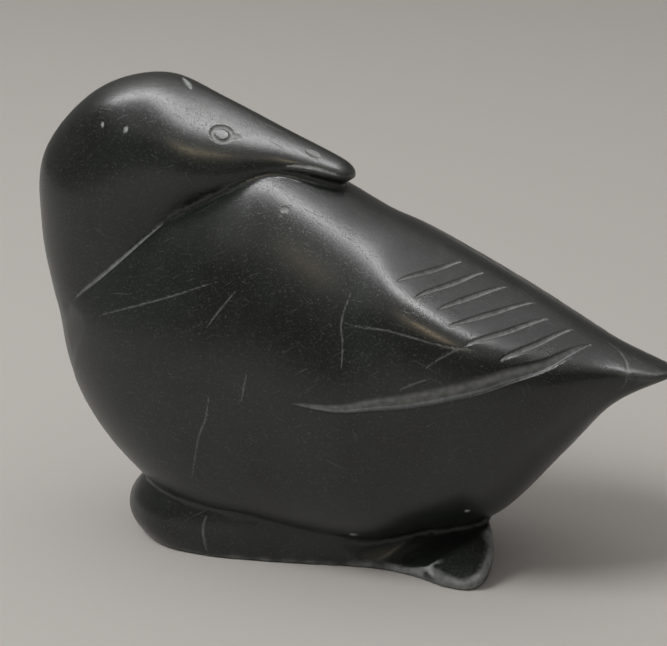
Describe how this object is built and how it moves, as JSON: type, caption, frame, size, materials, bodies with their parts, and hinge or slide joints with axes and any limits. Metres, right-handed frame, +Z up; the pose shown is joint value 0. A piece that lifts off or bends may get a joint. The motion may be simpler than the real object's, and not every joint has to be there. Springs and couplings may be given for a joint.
{
  "type": "soapstone bird carving",
  "caption": "Solid dark stone carving of a resting bird with its head turned back along its back, on a low foot block.",
  "frame": {"origin": "on the flat underside of the foot block, in the bird's middle plane, midway between breast and tail feet", "axes": "+X from the breast to the tail, +Z up, and the bird is mirrored about the plane Y = 0 apart from its foot block"},
  "size_m": [0.1482, 0.064, 0.1051],
  "materials": {
    "soapstone": "satin polish, dark green-grey, with pale dust in the cuts"
  },
  "bodies": {
    "root": {"bird_carving": "soapstone"}
  },
  "joints": []
}
